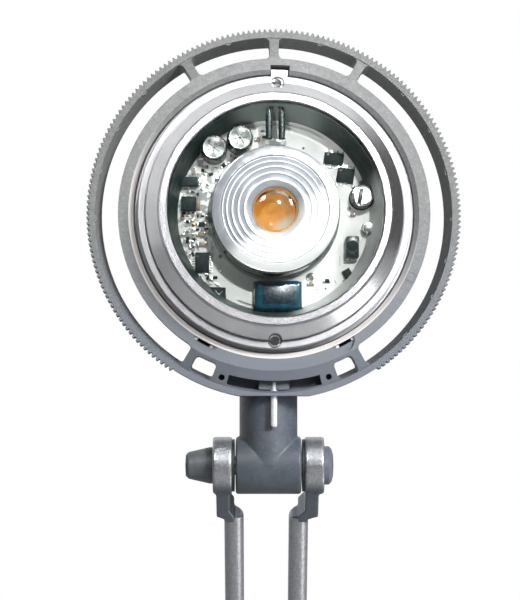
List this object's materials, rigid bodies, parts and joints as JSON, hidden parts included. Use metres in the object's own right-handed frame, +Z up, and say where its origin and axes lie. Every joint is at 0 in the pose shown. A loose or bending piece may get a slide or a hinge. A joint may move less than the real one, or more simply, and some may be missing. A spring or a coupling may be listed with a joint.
{
  "type": "desk lamp",
  "caption": "Desk lamp with a round searchlight head in a toothed ring, on a folding twin-rod arm with clamp knobs and a heavy round base.",
  "frame": {"origin": "centre of the base's underside, on the swivel axis", "axes": "+Z up along the base swivel, -Y the way the head faces, +X to the viewer's right"},
  "size_m": [0.19, 0.2391, 0.7454],
  "materials": {
    "plastic_grey": "glass-filled, fine grain",
    "plastic_slate": "glass-filled, fine grain",
    "plastic_black": "matt",
    "painted_grey": "fine textured powder coat",
    "cast_aluminium": "tumbled casting, sparkling grain",
    "aluminium_satin": "satin turned",
    "aluminium_raw": "extruded, matt",
    "steel_bright": "bright plated",
    "chrome_bright": "polished",
    "iron": "cast, painted black",
    "rubber_black": "matt",
    "glass_clear": "clear, polished",
    "lens_clear": "clear moulded acrylic",
    "gasket_clear": "translucent",
    "board_white": "white solder mask",
    "phosphor": "translucent phosphor",
    "component_black": "moulded",
    "component_blue": "moulded",
    "component_tan": "fired, tinned ends"
  },
  "bodies": {
    "base": {"base_pad": "rubber_black", "base_weight": "iron", "base_cover": "painted_grey", "base_screws": "steel_bright", "base_bush": "plastic_black", "cable_grommet": "rubber_black"},
    "turret": {"turret_tee": "plastic_slate", "turret_washer": "steel_bright", "turret_screw": "steel_bright"},
    "lower_arm": {"lower_arm_left": "cast_aluminium", "lower_arm_right": "cast_aluminium", "shoulder_bolt": "steel_bright", "shoulder_cap": "plastic_slate", "shoulder_washers": "plastic_black", "elbow_bolt": "steel_bright", "elbow_cap": "plastic_slate", "elbow_washers": "plastic_black"},
    "shoulder_knob": {"shoulder_knob": "plastic_slate"},
    "elbow_knob": {"elbow_knob": "plastic_slate"},
    "upper_arm": {"upper_arm_left": "cast_aluminium", "upper_arm_right": "cast_aluminium", "elbow_spacer": "plastic_slate", "tilt_bolt": "steel_bright", "tilt_cap": "plastic_slate", "tilt_washers": "plastic_black"},
    "tilt_knob": {"tilt_knob": "plastic_slate"},
    "neck": {"neck_tee": "plastic_slate", "neck_washer": "steel_bright", "neck_screw": "steel_bright"},
    "head": {"head_ring": "plastic_grey", "neck_socket": "plastic_slate", "socket_screws": "steel_bright", "rear_cover": "painted_grey", "cover_screws": "steel_bright", "heat_sink": "aluminium_raw", "bezel_flange": "aluminium_satin", "bezel_ring": "aluminium_satin", "bezel_screws": "chrome_bright", "cover_glass": "glass_clear", "glass_gasket": "gasket_clear", "spacer_ring": "aluminium_satin", "led_board": "board_white", "led_package": "board_white", "led_phosphor": "phosphor", "lens": "lens_clear", "lens_holder": "gasket_clear", "capacitors": "component_black", "round_choke": "steel_bright", "power_choke": "component_blue", "control_chips": "component_black", "power_parts": "component_black", "metal_can": "steel_bright", "small_parts": "component_tan", "lead_wires": "rubber_black", "bayonet_clips": "steel_bright"},
    "switch_lever": {"switch_slider": "plastic_black", "switch_pin": "chrome_bright"}
  },
  "joints": [
    {"name": "base_swivel", "type": "hinge", "parent": "base", "child": "turret", "pos_m": [0, 0, 0.0286], "axis": [0, 0, 1], "range_deg": [-170, 170]},
    {"name": "shoulder_hinge", "type": "hinge", "parent": "turret", "child": "lower_arm", "pos_m": [0, 0, 0.066], "axis": [1, 0, 0], "range_deg": [-40, 80]},
    {"name": "elbow_hinge", "type": "hinge", "parent": "lower_arm", "child": "upper_arm", "pos_m": [0, 0.13524, 0.35602], "axis": [-1, 0, 0], "range_deg": [-80, 70]},
    {"name": "head_tilt", "type": "hinge", "parent": "upper_arm", "child": "neck", "pos_m": [0, -0.02374, 0.61043], "axis": [1, 0, 0], "range_deg": [-60, 95]},
    {"name": "head_swivel", "type": "hinge", "parent": "neck", "child": "head", "pos_m": [0, -0.02374, 0.61043], "axis": [0, 0.0785, 0.9969], "range_deg": [-60, 60]},
    {"name": "switch_travel", "type": "hinge", "parent": "head", "child": "switch_lever", "pos_m": [0.00173, -0.03112, 0.6881], "axis": [0.0279, -0.9965, 0.0784], "range_deg": [-10, 10]},
    {"name": "shoulder_knob_turn", "type": "hinge", "parent": "lower_arm", "child": "shoulder_knob", "pos_m": [0, 0, 0.066], "axis": [-1, 0, 0], "range_deg": [0, 300]},
    {"name": "elbow_knob_turn", "type": "hinge", "parent": "lower_arm", "child": "elbow_knob", "pos_m": [0, 0.13524, 0.35602], "axis": [-1, 0, 0], "range_deg": [0, 300]},
    {"name": "tilt_knob_turn", "type": "hinge", "parent": "upper_arm", "child": "tilt_knob", "pos_m": [0, -0.02374, 0.61043], "axis": [-1, 0, 0], "range_deg": [0, 300]}
  ]
}
